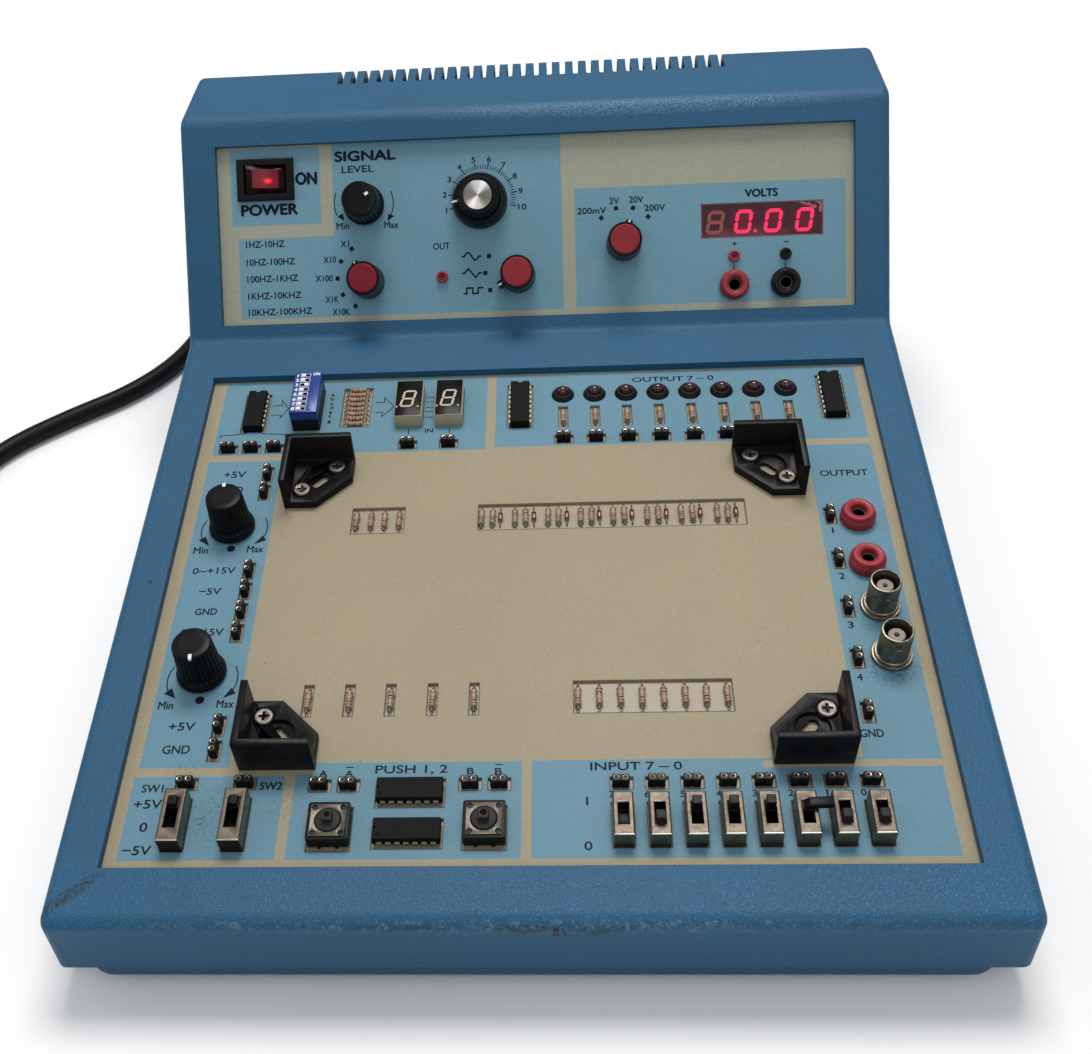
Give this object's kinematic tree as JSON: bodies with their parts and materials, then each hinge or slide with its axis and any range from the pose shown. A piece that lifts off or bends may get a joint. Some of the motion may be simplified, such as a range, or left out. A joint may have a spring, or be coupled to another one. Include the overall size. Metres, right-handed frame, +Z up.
{
  "type": "digital logic trainer",
  "caption": "Sloping bench trainer for logic circuits: low deck with sockets, switches, lamps and supply knobs, raised console with generator controls and a small meter, and a mains lead.",
  "frame": {"origin": "centre of the case footprint, at the underside of the rubber feet", "axes": "+X to the right of someone facing the console, +Y from the low front edge to the back wall, +Z up"},
  "size_m": [0.4794, 0.4394, 0.1241],
  "materials": {
    "case_blue": "leather-grained moulded plastic",
    "case_blue_dark": "moulded plastic",
    "foot_rubber": "matt",
    "screw_steel": "zinc plated",
    "screw_bright": "nickel plated",
    "printed_panel": "satin print",
    "board_laminate": "glass laminate",
    "bracket_black": "moulded",
    "black_plastic": "moulded",
    "chip_epoxy": "moulded epoxy with tinned leads",
    "switch_blue": "moulded",
    "resistor_tan": "lacquered, banded",
    "diode_glass": "glass with a dark band",
    "display_grey": "moulded",
    "lamp_red": "tinted epoxy",
    "jack_red": "moulded",
    "nickel_plate": "tarnished nickel",
    "window_red": "tinted acrylic",
    "display_dark": "moulded",
    "switch_steel": "tinned steel",
    "control_can": "plain",
    "transformer_steel": "laminated",
    "cord_rubber": "satin",
    "rocker_red": "translucent, lit",
    "knob_black": "moulded",
    "cap_red": "moulded",
    "button_grey": "moulded",
    "slider_white": "moulded"
  },
  "bodies": {
    "root": {"upper_case": "case_blue", "lower_case": "case_blue_dark", "rubber_feet": "foot_rubber", "case_screws": "screw_steel", "deck_panel": "printed_panel", "console_panel": "printed_panel", "main_board": "board_laminate", "console_board": "board_laminate", "corner_brackets": "bracket_black", "bracket_screws": "screw_bright", "integrated_circuits": "chip_epoxy", "code_switch_body": "switch_blue", "code_switch_socket": "black_plastic", "resistors": "resistor_tan", "diodes": "diode_glass", "seven_segment_displays": "display_grey", "indicator_leds": "lamp_red", "socket_strips": "black_plastic", "panel_jacks": "jack_red", "coaxial_connectors": "nickel_plate", "meter_window": "window_red", "meter_display": "display_dark", "slide_switch_bodies": "switch_steel", "push_switch_bodies": "black_plastic", "power_switch_housing": "black_plastic", "potentiometers": "control_can", "rotary_switches": "control_can", "power_supply": "transformer_steel", "strain_relief": "cord_rubber", "power_cord": "cord_rubber", "cord_coil": "cord_rubber", "mains_plug": "cord_rubber"},
    "power_rocker": {"power_rocker": "rocker_red"},
    "positive_supply_knob": {"positive_supply_knob": "knob_black"},
    "negative_supply_knob": {"negative_supply_knob": "knob_black"},
    "level_knob": {"level_knob": "knob_black"},
    "frequency_knob": {"frequency_knob": "knob_black"},
    "range_knob": {"range_knob": "cap_red"},
    "waveform_knob": {"waveform_knob": "cap_red"},
    "meter_range_knob": {"meter_range_knob": "cap_red"},
    "selector_lever_a": {"selector_lever_a": "black_plastic"},
    "selector_lever_b": {"selector_lever_b": "black_plastic"},
    "data_lever_0": {"data_lever_0": "black_plastic"},
    "data_lever_1": {"data_lever_1": "black_plastic"},
    "data_lever_2": {"data_lever_2": "black_plastic"},
    "data_lever_3": {"data_lever_3": "black_plastic"},
    "data_lever_4": {"data_lever_4": "black_plastic"},
    "data_lever_5": {"data_lever_5": "black_plastic"},
    "data_lever_6": {"data_lever_6": "black_plastic"},
    "data_lever_7": {"data_lever_7": "black_plastic"},
    "code_slider_1": {"code_slider_1": "slider_white"},
    "code_slider_2": {"code_slider_2": "slider_white"},
    "code_slider_3": {"code_slider_3": "slider_white"},
    "code_slider_4": {"code_slider_4": "slider_white"},
    "code_slider_5": {"code_slider_5": "slider_white"},
    "code_slider_6": {"code_slider_6": "slider_white"},
    "code_slider_7": {"code_slider_7": "slider_white"},
    "code_slider_8": {"code_slider_8": "slider_white"},
    "push_button_a": {"push_button_a": "button_grey"},
    "push_button_b": {"push_button_b": "button_grey"}
  },
  "joints": [
    {"name": "power_rocker_tilt", "type": "hinge", "parent": "root", "child": "power_rocker", "pos_m": [-0.1015, 0.11175, 0.10424], "axis": [0, 0.6108, 0.7918], "range_deg": [-18, 0]},
    {"name": "positive_supply_turn", "type": "hinge", "parent": "root", "child": "positive_supply_knob", "pos_m": [-0.1024, -0.0219, 0.04461], "axis": [0, -0.1045, 0.9945], "range_deg": [-150, 150]},
    {"name": "negative_supply_turn", "type": "hinge", "parent": "root", "child": "negative_supply_knob", "pos_m": [-0.1027, -0.08276, 0.03821], "axis": [0, -0.1045, 0.9945], "range_deg": [0, 300]},
    {"name": "level_turn", "type": "hinge", "parent": "root", "child": "level_knob", "pos_m": [-0.0637, 0.10554, 0.09538], "axis": [0, -0.7918, 0.6108], "range_deg": [-116, 184]},
    {"name": "frequency_turn", "type": "hinge", "parent": "root", "child": "frequency_knob", "pos_m": [-0.0193, 0.10536, 0.09515], "axis": [0, -0.7918, 0.6108], "range_deg": [-200, 10]},
    {"name": "range_turn", "type": "hinge", "parent": "root", "child": "range_knob", "pos_m": [-0.0633, 0.08777, 0.07234], "axis": [0, -0.7918, 0.6108], "range_deg": [0, 120]},
    {"name": "waveform_turn", "type": "hinge", "parent": "root", "child": "waveform_knob", "pos_m": [-0.0054, 0.08795, 0.07258], "axis": [0, -0.7918, 0.6108], "range_deg": [-60, 0]},
    {"name": "meter_range_turn", "type": "hinge", "parent": "root", "child": "meter_range_knob", "pos_m": [0.0349, 0.09437, 0.0809], "axis": [0, -0.7918, 0.6108], "range_deg": [-30, 60]},
    {"name": "selector_a_slide", "type": "slide", "parent": "root", "child": "selector_lever_a", "axis": [0, 0.9945, 0.1045], "range_m": [-0.0062, 0]},
    {"name": "selector_b_slide", "type": "slide", "parent": "root", "child": "selector_lever_b", "axis": [0, 0.9945, 0.1045], "range_m": [-0.0062, 0]},
    {"name": "data_0_slide", "type": "slide", "parent": "root", "child": "data_lever_0", "axis": [0, 0.9945, 0.1045], "range_m": [0, 0.0038]},
    {"name": "data_1_slide", "type": "slide", "parent": "root", "child": "data_lever_1", "axis": [0, 0.9945, 0.1045], "range_m": [0, 0.0038]},
    {"name": "data_2_slide", "type": "slide", "parent": "root", "child": "data_lever_2", "axis": [0, 0.9945, 0.1045], "range_m": [-0.0038, 0]},
    {"name": "data_3_slide", "type": "slide", "parent": "root", "child": "data_lever_3", "axis": [0, 0.9945, 0.1045], "range_m": [-0.0038, 0]},
    {"name": "data_4_slide", "type": "slide", "parent": "root", "child": "data_lever_4", "axis": [0, 0.9945, 0.1045], "range_m": [-0.0038, 0]},
    {"name": "data_5_slide", "type": "slide", "parent": "root", "child": "data_lever_5", "axis": [0, 0.9945, 0.1045], "range_m": [-0.0038, 0]},
    {"name": "data_6_slide", "type": "slide", "parent": "root", "child": "data_lever_6", "axis": [0, 0.9945, 0.1045], "range_m": [0, 0.0038]},
    {"name": "data_7_slide", "type": "slide", "parent": "root", "child": "data_lever_7", "axis": [0, 0.9945, 0.1045], "range_m": [0, 0.0038]},
    {"name": "code_1_slide", "type": "slide", "parent": "root", "child": "code_slider_1", "axis": [1, 0, 0], "range_m": [0, 0.0015]},
    {"name": "code_2_slide", "type": "slide", "parent": "root", "child": "code_slider_2", "axis": [1, 0, 0], "range_m": [0, 0.0015]},
    {"name": "code_3_slide", "type": "slide", "parent": "root", "child": "code_slider_3", "axis": [1, 0, 0], "range_m": [-0.0015, 0]},
    {"name": "code_4_slide", "type": "slide", "parent": "root", "child": "code_slider_4", "axis": [1, 0, 0], "range_m": [0, 0.0015]},
    {"name": "code_5_slide", "type": "slide", "parent": "root", "child": "code_slider_5", "axis": [1, 0, 0], "range_m": [0, 0.0015]},
    {"name": "code_6_slide", "type": "slide", "parent": "root", "child": "code_slider_6", "axis": [1, 0, 0], "range_m": [0, 0.0015]},
    {"name": "code_7_slide", "type": "slide", "parent": "root", "child": "code_slider_7", "axis": [1, 0, 0], "range_m": [0, 0.0015]},
    {"name": "code_8_slide", "type": "slide", "parent": "root", "child": "code_slider_8", "axis": [1, 0, 0], "range_m": [0, 0.0015]},
    {"name": "push_a_press", "type": "slide", "parent": "root", "child": "push_button_a", "axis": [0, 0.1045, -0.9945], "range_m": [0, 0.0003], "stiffness_N_per_m": 3000, "springref_m": -0.0002},
    {"name": "push_b_press", "type": "slide", "parent": "root", "child": "push_button_b", "axis": [0, 0.1045, -0.9945], "range_m": [0, 0.0003], "stiffness_N_per_m": 3000, "springref_m": -0.0002}
  ]
}
